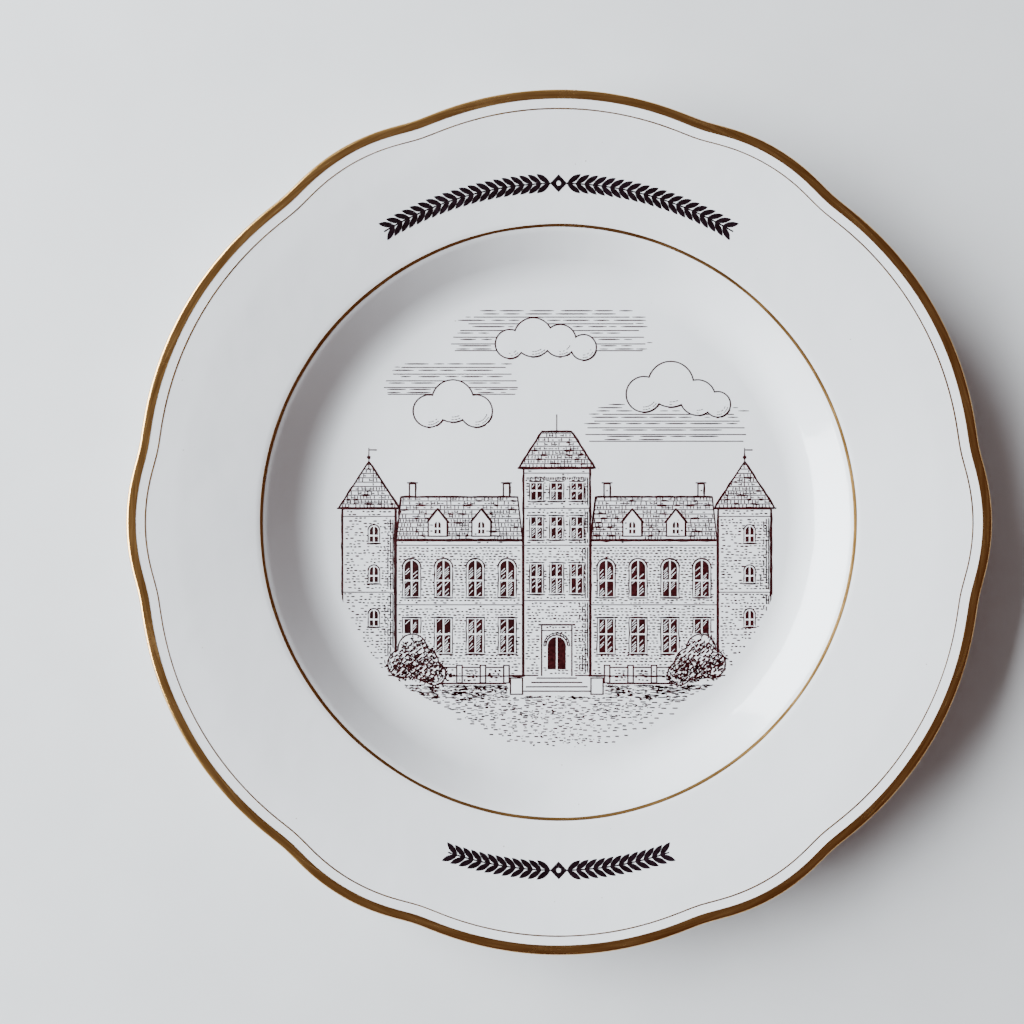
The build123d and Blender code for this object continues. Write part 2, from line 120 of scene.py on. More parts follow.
def outline_radius(angle):
    """The rim's radius at an angle in radians."""
    lobe = 2 * math.pi / LOBES
    radii = []
    for offset, first in ((WIDE_OFFSET, lobe / 2), (NARROW_OFFSET, 0.0)):
        off = (angle - first + lobe / 2) % lobe - lobe / 2
        arc = RIM - offset
        radii.append(offset * math.cos(off) + math.sqrt(arc * arc - (offset * math.sin(off)) ** 2))
    top = max(radii)
    return top + DIP_SOFTNESS * math.log(sum(math.exp((r - top) / DIP_SOFTNESS) for r in radii))


# ---------------------------------------------------------------- the plate's surface

TOP_SLOPE = (RIM_TOP_Z - FLANGE_BREAK[1]) / (122.5 - FLANGE_BREAK[0])
UNDER_SLOPE = (RIM_UNDER_Z - SHOULDER[1]) / (122.5 - SHOULDER[0])


def rim_profile():
    """The rounded rim from top to underside, as radius, height and the slope it slides along."""
    top_z = FLANGE_BREAK[1] + TOP_SLOPE * (RIM - FLANGE_BREAK[0])
    under_z = SHOULDER[1] + UNDER_SLOPE * (RIM - SHOULDER[0])
    corners = [
        (RIM - 3.0, top_z - 3.0 * TOP_SLOPE, 0),
        (RIM, top_z, RIM_TOP_ROUND),
        (RIM, under_z, RIM_UNDER_ROUND),
        (RIM - 3.0, under_z - 3.0 * UNDER_SLOPE, 0),
    ]
    return rounded(corners, step=0.5, arc_step=math.radians(7.5))


def outer_profile():
    """The whole outer surface from the centre of the floor, over the rim, to the centre of the base."""
    rim = rim_profile()
    top = rounded([(0.001, FLOOR_Z, 0), COVE, VERGE, FLANGE_BREAK, (rim[0].x, rim[0].y, 0)])
    under = rounded([(rim[-1].x, rim[-1].y, 0), SHOULDER, FOOT_ROOT_OUTER, FOOT_SOLE_OUTER,
                     (FOOT_SOLE_OUTER[0] - 1.1, 0.0, 0)], step=2.6, arc_step=math.radians(6))
    base = rounded([(FOOT_SOLE_INNER[0] + 1.1, 0.0, 0), FOOT_SOLE_INNER, FOOT_ROOT_INNER, (0.001, 2.5, 0)],
                   step=6.0, arc_step=math.radians(8))
    return top + rim[1:] + under[1:], base


def slide(point, shift):
    """Moves a section point with the rim, where the outline is pulled in by shift."""
    weight = min(1.0, max(0.0, (point.x - 112.0) / 2.5))
    if weight == 0.0:
        return point.x, point.y
    middle = point.y - (SHOULDER[1] + UNDER_SLOPE * (point.x - SHOULDER[0]))
    share = min(1.0, max(0.0, middle / 3.0))
    slope = UNDER_SLOPE + (TOP_SLOPE - UNDER_SLOPE) * share
    return point.x + shift * weight, point.y + slope * shift * weight


def lathe(name, loop, closed=True, steps=TURN_STEPS, wobble=None):
    """Turns a closed section about the axis along the lobes. wobble(angle, n) moves a point outwards."""
    verts, faces = [], []
    count = len(loop)
    for step in range(steps):
        angle = 2 * math.pi * step / steps
        shift = outline_radius(angle) - RIM
        c, s = math.cos(angle), math.sin(angle)
        for n, point in enumerate(loop):
            moved = point if wobble is None else point + wobble(angle, n)
            r, z = slide(moved, shift)
            verts.append((r * c, r * s, z))
    for step in range(steps):
        after = (step + 1) % steps
        for n in range(count if closed else count - 1):
            m = (n + 1) % count
            faces.append((step * count + n, step * count + m, after * count + m, after * count + n))
    obj = new_mesh(name, verts, faces)
    close_poles(obj)
    return obj


def close_poles(obj):
    """Merges the rings that stand on the axis into single points."""
    shape = bmesh.new()
    shape.from_mesh(obj.data)
    bmesh.ops.remove_doubles(shape, verts=shape.verts, dist=0.004 * MM)
    shape.to_mesh(obj.data)
    shape.free()
    obj.data.polygons.foreach_set("use_smooth", [True] * len(obj.data.polygons))
    obj.data.set_sharp_from_angle(angle=math.radians(50))
    obj.data.update()


def normals(points):
    """Unit normals of an open polyline, on its left."""
    out = []
    for n in range(len(points)):
        a, b = points[max(0, n - 1)], points[min(len(points) - 1, n + 1)]
        d = (b - a).normalized()
        out.append(Vector((-d.y, d.x)))
    return out


def skin(points, thickness, every=1):
    """A closed loop: the points, then the same points moved inwards by thickness, coming back."""
    inner = [p - n * thickness for p, n in zip(points, normals(points))][::-1]
    kept = inner[::every]
    if kept[-1] is not inner[-1]:
        kept.append(inner[-1])
    return points + kept


def surface_z(profile, radius):
    """The height of the plate's upper surface at a radius."""
    for a, b in zip(profile, profile[1:]):
        if a.x <= radius <= b.x:
            return a.y + (b.y - a.y) * (radius - a.x) / (b.x - a.x)
    raise ValueError(f"no surface at radius {radius}")


def waves(seed, height):
    """A slow hand wobble round the plate, as a function of the angle."""
    draw = random.Random(seed)
    parts = [(n, draw.uniform(0, 2 * math.pi), draw.uniform(0.4, 1.0) / n**0.5)
             for n in (3, 5, 8, 13, 21, 34)]
    size = sum(part[2] for part in parts)
    return lambda angle: height * sum(a * math.sin(n * angle + phase) for n, phase, a in parts) / size


FILM = 0.05
FILM_BITE = 0.02
outer, base = outer_profile()


def build_glaze():
    """The glaze: a thin shell over the whole plate, and a disc of it inside the foot ring."""
    over = [p for p in outer if p.x > FOOT_SOLE_OUTER[0] + 5 or p.y >= BARE_FOOT_Z]
    shell = lathe("glaze", skin(over, GLAZE_THICKNESS * 0.9, every=2))
    under = [p for p in base if p.y >= BARE_FOOT_Z]
    disc = lathe("glaze_base", skin(under, GLAZE_THICKNESS * 0.9), steps=180)
    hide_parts("glaze_coat")
    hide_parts("glaze_coat")
    return shell, disc


def build_biscuit():
    """The porcelain under the glaze. It comes to the surface only on the sole of the foot ring."""
    whole = outer + base
    loop = []
    for point, normal in zip(whole, normals(whole)):
        bare = point.x < FOOT_SOLE_OUTER[0] + 5 and point.y < BARE_FOOT_Z
        loop.append(point if bare else point - normal * GLAZE_THICKNESS)
    body = lathe("biscuit_body_fine", loop)
    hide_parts("biscuit_body")
    return body


def gilt_ring(name, node, points, wobble_inner, wobble_outer):
    """A gilded strip over the given stretch of the section, with edges that wander like a brush's."""
    raised = [p + n * FILM for p, n in zip(points, normals(points))]
    loop = skin(raised, FILM + FILM_BITE)
    last = len(points) - 1

    def wobble(angle, n):
        along = n if n <= last else 2 * last + 1 - n
        here = wobble_inner(angle) * (1 - along / last) ** 3 + wobble_outer(angle) * (along / last) ** 3
        near = points[min(along, last - 1)]
        step = (points[min(along, last - 1) + 1] - near).normalized()
        return step * here

    ring = lathe(name, loop, wobble=wobble)
    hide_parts(node)
    return ring


def build_gilding():
    """The edge band, the hairline and the verge line."""
    rim = rim_profile()
    low = rim[0].y - 1.0
    start = RIM - 2.8
    edge = [Vector((start, surface_z(outer, start)))]
    edge += [p for p in rim if p.x > start and (p.y > low)]
    band = gilt_ring("gilt_rim_band_fine", "gilt_rim_band", edge, waves(11, 0.16), waves(12, 0.1))
    rings = []
    for name, middle, width, sway, swell, seed in (
        ("gilt_hairline", RIM - 5.35, 0.33, 0.05, 0.05, 21),
        ("gilt_verge_line", 85.7, 0.8, 0.1, 0.07, 31),
    ):
        radii = [middle + width * (t / 4 - 0.5) for t in range(5)]
        points = [Vector((r, surface_z(outer, r))) for r in radii]
        drift, swelling = waves(seed, sway), waves(seed + 1, swell)
        rings.append(gilt_ring(
            name + "_fine", name, points,
            lambda a, d=drift, w=swelling: d(a) - w(a), lambda a, d=drift, w=swelling: d(a) + w(a),
        ))
    return band, rings[0], rings[1]


# ---------------------------------------------------------------- pen work in the printed view

VIEW_RADIUS = 68.0
GROUND = -46.0
INK_TOP = FLOOR_Z + 0.045
INK_FOOT = FLOOR_Z - 0.02
PEN = 0.33

# The view's regions, as the CAD draws them: left, right and eaves of each building, and heaps of circles.
WEST_TOWER = (-64.0, -48.0, 4.0)
HALL = (-48.0, -10.0, -5.5)
GATE_TOWER = (-10.0, 10.0, 16.0)
EAST_WING = (10.0, 48.0, -5.5)
EAST_TOWER = (48.0, 64.0, 4.0)
HALL_RIDGE = 7.5
CONE_HEIGHT = 14.0
BAYS = 4
GATE_ROOF = (-11.5, 11.5)
GATE_RIDGE = (-4.5, 4.5, 27.0)
GATE_WINDOW_HALF = 1.6
GATE_WINDOW_ROWS = ((-21.25, 8.6), (-5.0, 6.4), (6.5, 5.0))
GATE_WINDOWS = [(x, sill, GATE_WINDOW_HALF, tall) for sill, tall in GATE_WINDOW_ROWS for x in (-6, 0, 6)]
WING_WINDOW_ROWS = ((-22.25, 2.1, 8.6), (-39.0, 2.1, 10.0))
DOOR_ARCH = GROUND + 9
TERRACE_WALLS = ((-36.0, -15.0), (15.0, 36.0))
TERRACE_TOP = -43.4
PLANT_HEIGHT = 1.5
GRAVEL_DASHES = 3600
STEPS_REACH, STEPS_FOOT = 14.6, -52.0
TOWER_SILLS = (-6, -18, -31)
CHIMNEYS = (-43, -15, 15, 43)
DORMERS = (-35.5, -22.5, 22.5, 35.5)
DORMER_SILL, DORMER_EAVES, DORMER_APEX = -4.5, 0.175, 4.0
SKY_DRIFTS = ((-48, -14, 38.5, 48), (12, 54, 24.5, 35), (-28, 24, 51.5, 63))
CLOUDS = (
    ((-38, 33, 5), (-31, 36, 6.5), (-24, 33, 5)),
    ((26, 38, 5.5), (34, 41, 7), (42, 37, 5.5), (48, 35, 4)),
    ((-14, 53, 4.5), (-7, 55, 6), (1, 54, 5), (8, 52, 4)),
)
BUSHES = (
    ((-46, -42.3, 4.5), (-40, -42.3, 5), (-43, -37.8, 4.5), (-36.5, -45.3, 3.6)),
    ((46, -42.3, 4.5), (40, -42.3, 5), (43, -37.8, 4.5), (36.5, -45.3, 3.6)),
)

PRINTS = [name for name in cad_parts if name.startswith("print_")]


def mesh_tree(names):
    """One search tree over the CAD's printed line work."""
    verts, faces = [], []
    for name in names:
        mesh = bpy.data.objects[name].data
        first = len(verts)
        verts += [tuple(v.co) for v in mesh.vertices]
        faces += [[first + i for i in p.vertices] for p in mesh.polygons]
    return BVHTree.FromPolygons(verts, faces)


line_work = mesh_tree(PRINTS)


def clear(x, y, margin):
    """True where a point of the drawing has no CAD line within the margin."""
    spot = Vector((x * MM, y * MM, (FLOOR_Z + 0.03) * MM))
    return line_work.find_nearest(spot, margin * MM)[0] is None


def inside(heap, x, y, grow=0.0):
    return any((x - cx) ** 2 + (y - cy) ** 2 < (radius + grow) ** 2 for cx, cy, radius in heap)


def in_bushes(x, y, grow=0.3):
    return any(inside(heap, x, y, grow) for heap in BUSHES)


def in_view(x, y, edge=0.0):
    return x * x + y * y < (VIEW_RADIUS - edge) ** 2


def on_steps(x, y):
    return abs(x) < STEPS_REACH and y > STEPS_FOOT


class Pen:
    """Gathers strokes and turns them into one inked piece that rides on the plate."""

    def __init__(self, name):
        self.name, self.verts, self.faces = name, [], []
        self.top, self.foot = INK_TOP, INK_FOOT

    def stroke(self, points, widths):
        """A closed flat ribbon through the points, with a width at each."""
        first = len(self.verts)
        for n, (x, y) in enumerate(points):
            x0, y0 = points[max(0, n - 1)]
            x1, y1 = points[min(len(points) - 1, n + 1)]
            length = math.hypot(x1 - x0, y1 - y0) or 1.0
            sx, sy = -(y1 - y0) / length * widths[n] / 2, (x1 - x0) / length * widths[n] / 2
            self.verts += [(x + sx, y + sy, self.top), (x - sx, y - sy, self.top),
                           (x - sx, y - sy, self.foot), (x + sx, y + sy, self.foot)]
        for n in range(len(points) - 1):
            a, b = first + 4 * n, first + 4 * (n + 1)
            for side in range(4):
                after = (side + 1) % 4
                self.faces.append((a + side, a + after, b + after, b + side))
        end = first + 4 * (len(points) - 1)
        self.faces.append((first + 3, first + 2, first + 1, first))
        self.faces.append((end, end + 1, end + 2, end + 3))

    def line(self, ends, width=PEN, waver=0.06, over=0.0):
        """A long stroke drawn by a hand that wavers, running past both of its ends by over."""
        (x0, y0), (x1, y1) = ends
        length = math.dist(*ends)
        ux, uy = (x1 - x0) / length, (y1 - y0) / length
        count = max(3, round(length / 1.6))
        points, widths = [], []
        for n in range(count + 1):
            t = -over + (length + 2 * over) * n / count
            off = rng.gauss(0, waver)
            x, y = x0 + ux * t - uy * off, y0 + uy * t + ux * off
            if in_view(x, y, 0.3) and not in_bushes(x, y):
                points.append((x, y))
                widths.append(width * rng.uniform(0.75, 1.2) * (0.6 if n in (0, count) else 1.0))
        if len(points) > 1:
            self.stroke(points, widths)

    def arch(self, x, y, radius, width=PEN, start=0.0, stop=180.0):
        """A stroke along an arc."""
        turns = [math.radians(start + (stop - start) * n / 8) for n in range(9)]
        points = [(x + radius * math.cos(a), y + radius * math.sin(a)) for a in turns]
        if not any(in_bushes(*point) for point in points):
            self.stroke(points, [width * rng.uniform(0.8, 1.15) for _ in points])

    def dash(self, x, y, length, angle, width=PEN, bend=0.0, free=False):
        """A short stroke with tapered ends. Unless it is free, it keeps clear of the CAD's lines."""
        c, s = math.cos(angle), math.sin(angle)
        places = [(t * length / 2, bend * (1 - t * t)) for t in (-1.0, 0.0, 1.0)]
        points = [(x + u * c - v * s, y + u * s + v * c) for u, v in places]
        if all(in_view(px, py) and (free or clear(px, py, width * 0.6 + 0.06)) for px, py in points):
            self.stroke(points, [width * 0.6, width, width * 0.7])

    def finish(self, material, slot="view_ink"):
        piece = new_mesh(self.name, self.verts, self.faces, smooth=False)
        piece.data.materials.append(material)
        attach(piece, "root")
        return piece


def bricks(pen, left, right, low, high, density, shade_side=0.0):
    """Broken courses of brick dashes on a wall. shade_side thickens them towards the right edge."""
    y = low + 0.8
    while y < high - 0.5:
        x = left + 0.5 + rng.uniform(0, 1.0)
        while x < right - 0.5:
            length = rng.uniform(0.45, 1.15)
            across = (x - left) / (right - left)
            chance = density * (1 - shade_side + shade_side * 2.2 * abs(across - 0.35))
            if rng.random() < chance and not in_bushes(x, y):
                pen.dash(x + length / 2, y + rng.uniform(-0.14, 0.14), length, rng.uniform(-0.08, 0.06),
                         PEN * rng.uniform(0.95, 1.5))
            x += length + rng.uniform(0.25, 0.7)
        y += rng.uniform(0.8, 0.95)


def hatch(pen, left, right, y, depth, spacing, slant=0.0, width=PEN):
    """Short upright strokes hanging from a line, as the shade under eaves."""
    x = left
    while x < right:
        length = depth * rng.uniform(0.7, 1.15)
        if not in_bushes(x, y - length / 2):
            pen.dash(x, y - length / 2, length, math.pi / 2 + slant, width)
        x += spacing * rng.uniform(0.8, 1.2)


def build_walls(material):
    pen = Pen("pen_brickwork")
    for box, density, side in ((WEST_TOWER, 0.95, 0.4), (HALL, 0.95, 0.0), (GATE_TOWER, 0.95, 0.2),
                               (EAST_WING, 1.0, 0.0), (EAST_TOWER, 0.95, 0.4)):
        bricks(pen, box[0], box[1], GROUND, box[2], density, side)
    for left, right in TERRACE_WALLS:
        bricks(pen, left + 1, right - 1, GROUND - 2, TERRACE_TOP, 0.8)
    for x in CHIMNEYS:
        bricks(pen, x - 1.1, x + 1.1, HALL_RIDGE, HALL_RIDGE + 4, 1.0)
    for x in DORMERS:
        bricks(pen, x - 3, x + 3, DORMER_SILL, DORMER_EAVES, 0.9)
    return pen.finish(material)


def bay_middles(box, bays):
    left, right, _ = box
    return [left + (right - left) * (bay + 0.5) / bays for bay in range(bays)]


def build_outlines(material):
    """Bold, wavering strokes over the CAD's edges: corners, eaves, ridges and roof slopes."""
    pen = Pen("pen_outlines")
    for left, right, eaves in (WEST_TOWER, EAST_TOWER):
        x = (left + right) / 2
        pen.line(((left, GROUND), (left, eaves)), 0.42)
        pen.line(((right, GROUND), (right, eaves)), 0.62)
        pen.line(((right - 0.35, GROUND), (right - 0.35, eaves - 4)), 0.3)
        pen.line(((left - 1.2, eaves), (right + 1.2, eaves)), 0.75, over=0.3)
        pen.line(((left - 1.2, eaves), (x, eaves + CONE_HEIGHT)), 0.42)
        pen.line(((right + 1.2, eaves), (x, eaves + CONE_HEIGHT)), 0.6)
        pen.line(((x, eaves + CONE_HEIGHT), (x, eaves + CONE_HEIGHT + 3)), 0.4, 0.03)
    for left, right, eaves in (HALL, EAST_WING):
        pen.line(((left, eaves), (right, eaves)), 0.85, 0.05)
        pen.line(((left, GROUND), (left, eaves)), 0.5)
        pen.line(((left + 1.5, HALL_RIDGE), (right - 1.5, HALL_RIDGE)), 0.5, 0.05)
        pen.line(((left, eaves), (left + 1.5, HALL_RIDGE)), 0.4)
        pen.line(((left, GROUND), (right, GROUND)), 0.5, over=0.5)
    left, right, eaves = GATE_TOWER
    pen.line(((left, GROUND), (left, eaves)), 0.45)
    pen.line(((right, GROUND), (right, eaves)), 0.7)
    pen.line(((GATE_ROOF[0], eaves), (GATE_ROOF[1], eaves)), 0.85, over=0.2)
    pen.line(((GATE_ROOF[0], eaves), (GATE_RIDGE[0], GATE_RIDGE[2])), 0.4)
    pen.line(((GATE_ROOF[1], eaves), (GATE_RIDGE[1], GATE_RIDGE[2])), 0.6)
    pen.line(((GATE_RIDGE[0], GATE_RIDGE[2]), (GATE_RIDGE[1], GATE_RIDGE[2])), 0.5, 0.05)
    for x in CHIMNEYS:
        pen.line(((x + 1, HALL_RIDGE), (x + 1, HALL_RIDGE + 3.8)), 0.5)
        pen.line(((x - 1.6, HALL_RIDGE + 4.1), (x + 1.6, HALL_RIDGE + 4.1)), 0.5)
    for x in DORMERS:
        pen.line(((x - 3.4, DORMER_EAVES - 0.4), (x, DORMER_APEX)), 0.4, 0.04)
        pen.line(((x + 3.4, DORMER_EAVES - 0.4), (x, DORMER_APEX)), 0.6, 0.04)
        pen.line(((x + 3, DORMER_SILL), (x + 3, DORMER_EAVES)), 0.5, 0.04)
    return pen.finish(material)


def build_openings(material):
    """Frames, hood arches and sills round the windows and the door."""
    pen = Pen("pen_openings")
    for box in (HALL, EAST_WING):
        for x in bay_middles(box, BAYS):
            for side in (-1, 1):
                pen.line(((x + side * 2.7, -39.2), (x + side * 2.7, -28.8)), PEN * 0.95, 0.05)
                pen.line(((x + side * 2.7, -22.4), (x + side * 2.7, -13.7)), PEN * 0.95, 0.05)
            pen.arch(x, -13.7, 2.8, PEN * 1.3)
            pen.line(((x - 3, -22.7), (x + 3, -22.7)), PEN * 1.5, 0.03)
            pen.line(((x - 2.9, -28.55), (x + 2.9, -28.55)), PEN * 1.6, 0.03)
            pen.line(((x - 3, -39.5), (x + 3, -39.5)), PEN * 1.5, 0.03)
    for left, right, _ in (WEST_TOWER, EAST_TOWER):
        for sill in TOWER_SILLS:
            x = (left + right) / 2 + 1.5
            pen.arch(x, sill + 3.4, 1.75, PEN * 1.1)
            for side in (-1, 1):
                pen.line(((x + side * 1.7, sill - 0.2), (x + side * 1.7, sill + 3.4)), PEN * 0.9, 0.03)
            pen.line(((x - 2.1, sill - 0.5), (x + 2.1, sill - 0.5)), PEN * 1.6, 0.03)
    for x, sill, half, tall in GATE_WINDOWS:
        for side in (-1, 1):
            pen.line(((x + side * (half + 0.5), sill), (x + side * (half + 0.5), sill + tall)), PEN, 0.03)
        pen.line(((x - half - 0.7, sill + tall + 0.5), (x + half + 0.7, sill + tall + 0.5)), PEN * 1.2, 0.03)
        pen.line(((x - half - 0.9, sill - 0.5), (x + half + 0.9, sill - 0.5)), PEN * 1.6, 0.03)
    gate = (GATE_TOWER[0] + GATE_TOWER[1]) / 2
    pen.arch(gate, DOOR_ARCH, 3.3, PEN * 1.3)
    pen.arch(gate, DOOR_ARCH, 3.9, PEN)
    for angle in range(0, 181, 18):
        turn = math.radians(angle)
        x, y = gate + 3.6 * math.cos(turn), DOOR_ARCH + 3.6 * math.sin(turn)
        pen.dash(x, y, 0.5, turn, PEN * 0.9, free=True)
    return pen.finish(material)


def build_glints(material):
    """Fine slanting gaps in the dark panes, where the glaze shows through the ink."""
    pen = Pen("window_glints")
    pen.top, pen.foot = FLOOR_Z + 0.075, FLOOR_Z + 0.03
    panes = []
    for box in (HALL, EAST_WING):
        for x in bay_middles(box, BAYS):
            panes += [(x, *row) for row in WING_WINDOW_ROWS]
    panes += GATE_WINDOWS
    for x, sill, half, tall in panes:
        y = sill + 0.5
        while y < sill + tall - 0.3:
            for middle in (x - half / 2 - 0.05, x + half / 2 + 0.05):
                if rng.random() < 0.6 and not in_bushes(middle, y, 1.0) and in_view(middle, y, 1.0):
                    reach = half / 2 - 0.32
                    start = (middle - reach, y - reach * 0.8)
                    end = (middle + reach * rng.uniform(0.2, 1.0), y + reach * 0.8)
                    pen.stroke([start, end], [rng.uniform(0.08, 0.2), rng.uniform(0.12, 0.26)])
            y += rng.uniform(0.5, 0.85)
    return pen.finish(material, "glaze")


def build_shade(material):
    """The shade under eaves and string courses, and down the far side of each tower."""
    pen = Pen("pen_shade")
    for left, right, eaves in (HALL, EAST_WING, GATE_TOWER):
        hatch(pen, left + 0.6, right - 0.5, eaves - 1.7, 1.5, 0.42)
    for left, right, eaves in (HALL, EAST_WING):
        hatch(pen, left + 0.6, right - 0.5, (eaves + GROUND) / 2 + 0.8, 0.9, 0.55)
    for left, right, eaves in (WEST_TOWER, EAST_TOWER, GATE_TOWER):
        hatch(pen, left + 0.6, right - 0.5, eaves - 2.7, 0.9, 0.5)
        y = GROUND + 1
        while y < eaves - 3:
            for reach, chance in ((0.8, 0.95), (1.5, 0.75), (2.3, 0.45), (3.2, 0.2)):
                if rng.random() < chance and not in_bushes(right - reach, y):
                    pen.dash(right - reach, y, rng.uniform(0.7, 1.3), math.pi / 2 + 0.12, PEN)
            y += rng.uniform(0.5, 0.8)
    return pen.finish(material)


def in_dormer(x, y):
    return any(abs(x - middle) < 3.5 and y < DORMER_APEX - abs(x - middle) + 0.4 for middle in DORMERS)


def build_roofs(material):
    """Tile joints between the CAD's tile rows and broken strokes within them, heavier towards the eaves."""
    pen = Pen("pen_tiles")

    def tiles(left, right, low, high, left_top, right_top):
        y = low + 0.65
        while y < high - 0.3:
            t = (y - low) / (high - low)
            x0, x1 = left + (left_top - left) * t + 0.5, right + (right_top - right) * t - 0.5
            x = x0 + rng.uniform(0, 0.8)
            heavy = 0.95 - 0.35 * t
            while x < x1:
                if not in_dormer(x, y) and rng.random() < heavy:
                    pen.dash(x, y, rng.uniform(0.7, 1.1), math.pi / 2 + rng.uniform(-0.15, 0.15), PEN,
                             free=True)
                if not in_dormer(x + 0.45, y) and rng.random() < 0.55 * heavy:
                    pen.dash(x + 0.45, y - 0.1, rng.uniform(0.5, 1.0), 0.0, PEN)
                x += rng.uniform(0.75, 1.25)
            x = x0
            while x < x1 - 1:
                length = rng.uniform(0.8, 3.5)
                if rng.random() < 0.45 * heavy and not in_dormer(x + length / 2, y):
                    pen.line(((x, y - 0.65), (min(x + length, x1), y - 0.65)), PEN * 1.9, 0.05)
                x += length + rng.uniform(0.5, 2.5)
            y += 1.3

    for left, right, eaves in (HALL, EAST_WING):
        tiles(left, right, eaves, HALL_RIDGE, left + 1.5, right - 1.5)
    for left, right, eaves in (WEST_TOWER, EAST_TOWER):
        x = (left + right) / 2
        tiles(left - 1.2, right + 1.2, eaves, eaves + CONE_HEIGHT, x, x)
    tiles(*GATE_ROOF, GATE_TOWER[2], GATE_RIDGE[2], *GATE_RIDGE[:2])
    return pen.finish(material)


def build_sky(material):
    """Long level strokes that fade at both ends, stopping at the clouds and the roofs."""
    pen = Pen("pen_sky")
    for left, right, low, high in SKY_DRIFTS:
        y = low
        while y < high:
            x = left + rng.uniform(-4, 4)
            end = right + rng.uniform(-5, 5)
            while x < end:
                length = rng.uniform(3, 11)
                run(pen, x, min(x + length, end), y)
                x += length + rng.uniform(0.2, 1.6)
            y += 0.95
    for heap in CLOUDS:
        for cx, cy, radius in heap:
            for inset in (0.0, 0.9, 1.7):
                arc = [(cx + (radius - inset) * math.cos(a), cy + (radius - inset) * math.sin(a))
                       for a in [math.radians(-95 + 10 * n) for n in range(9)]]
                for a, b in zip(arc, arc[1:]):
                    others = [c for c in heap if c != (cx, cy, radius)]
                    if not inside(others, *a) and not inside(others, *b) and rng.random() < 0.75:
                        angle = math.atan2(b[1] - a[1], b[0] - a[0])
                        x, y = (a[0] + b[0]) / 2, (a[1] + b[1]) / 2
                        pen.dash(x, y, math.dist(a, b) * (0.8 if inset else 1.2), angle,
                                 PEN * (0.7 if inset else 1.2), free=inset == 0.0)
    return pen.finish(material)


def run(pen, left, right, y):
    """One level sky stroke, cut wherever it would cross a cloud or a CAD line."""
    piece = []
    x = left
    while x <= right + 1e-6:
        free = in_view(x, y, 1.0) and clear(x, y, 0.36) and not any(inside(h, x, y, 0.5) for h in CLOUDS)
        if free:
            piece.append((x, y))
        if not free or x + 0.8 > right:
            if len(piece) > 2:
                last = len(piece) - 1
                widths = [PEN * 1.1 * min(1.0, 0.4 + 0.3 * min(n, last - n)) for n in range(last + 1)]
                pen.stroke(piece, widths)
            piece = []
        x += 0.8


def build_foliage(material):
    """The bushes and the low plants along the terrace walls, in short leaf strokes, thicker low down."""
    pen = Pen("pen_foliage")
    for heap in BUSHES:
        base = min(cy - radius for _, cy, radius in heap)
        top = max(cy + radius for _, cy, radius in heap)
        for n, (cx, cy, radius) in enumerate(heap):
            for _ in range(int(radius * radius * 13)):
                reach, turn = (radius + 0.5) * math.sqrt(rng.random()), rng.uniform(0, 2 * math.pi)
                x, y = cx + reach * math.cos(turn), cy + reach * math.sin(turn)
                lit = max(0.0, (x - cx) * -0.5 + (y - cy) * 0.8) / radius
                rise = (y - base) / (top - base)
                if not in_view(x, y, 1.0) or inside(heap[:n], x, y) or rng.random() < 0.6 * lit + 0.35 * rise:
                    continue
                size = rng.uniform(0.5, 1.2)
                angle = rng.uniform(0, math.pi)
                bend = rng.uniform(-0.3, 0.3)
                c, s = math.cos(angle), math.sin(angle)
                points = [(x + u * size * c - v * s, y + u * size * s + v * c)
                          for u, v in ((-0.5, 0), (0, bend), (0.5, 0))]
                pen.stroke(points, [0.14, rng.uniform(0.3, 0.5) * (1.35 - 0.4 * lit - 0.3 * rise), 0.16])
    for left, right in TERRACE_WALLS:
        x = left
        while x < right:
            tall = PLANT_HEIGHT * rng.uniform(0.3, 1.0)
            for _ in range(3):
                y = GROUND - 2.6 + tall * rng.random()
                if in_view(x, y, 1.0):
                    pen.dash(x + rng.uniform(-0.5, 0.5), y, rng.uniform(0.5, 1.1), rng.uniform(0.4, 2.7),
                             0.26, 0.15)
            x += rng.uniform(0.25, 0.6)
    return pen.finish(material)


def build_ground(material):
    """Gravel: dashes that grow sparser and shorter towards the viewer."""
    pen = Pen("pen_ground")
    for _ in range(GRAVEL_DASHES):
        depth = rng.random() ** 1.5
        y = GROUND - 2.6 - depth * 18.5
        half = math.sqrt(VIEW_RADIUS**2 - y * y) * (0.98 - 0.35 * depth)
        x = rng.uniform(-half, half)
        if rng.random() > half / 52 or in_bushes(x, y, 0.4) or on_steps(x, y) or rng.random() < 0.5 * depth:
            continue
        pen.dash(x, y, rng.uniform(0.25, 1.5) * (1.1 - 0.5 * depth), rng.gauss(0, 0.12),
                 PEN * rng.uniform(0.6, 1.3), rng.uniform(-0.08, 0.08))
    for level in range(7):
        y = GROUND - 3.4 - level * 0.75
        x = -44 + level * 1.5
        while x < 44 - level * 1.5:
            length = rng.uniform(1, 6)
            blocked = in_bushes(x + length / 2, y) or any(on_steps(x + t * length, y) for t in (0, 0.5, 1))
            if rng.random() < 0.55 and not blocked and in_view(x + length, y, 2):
                pen.dash(x + length / 2, y, length, 0.0, PEN * 0.9)
            x += length + rng.uniform(0.5, 3)
    return pen.finish(material)


# ---------------------------------------------------------------- materials

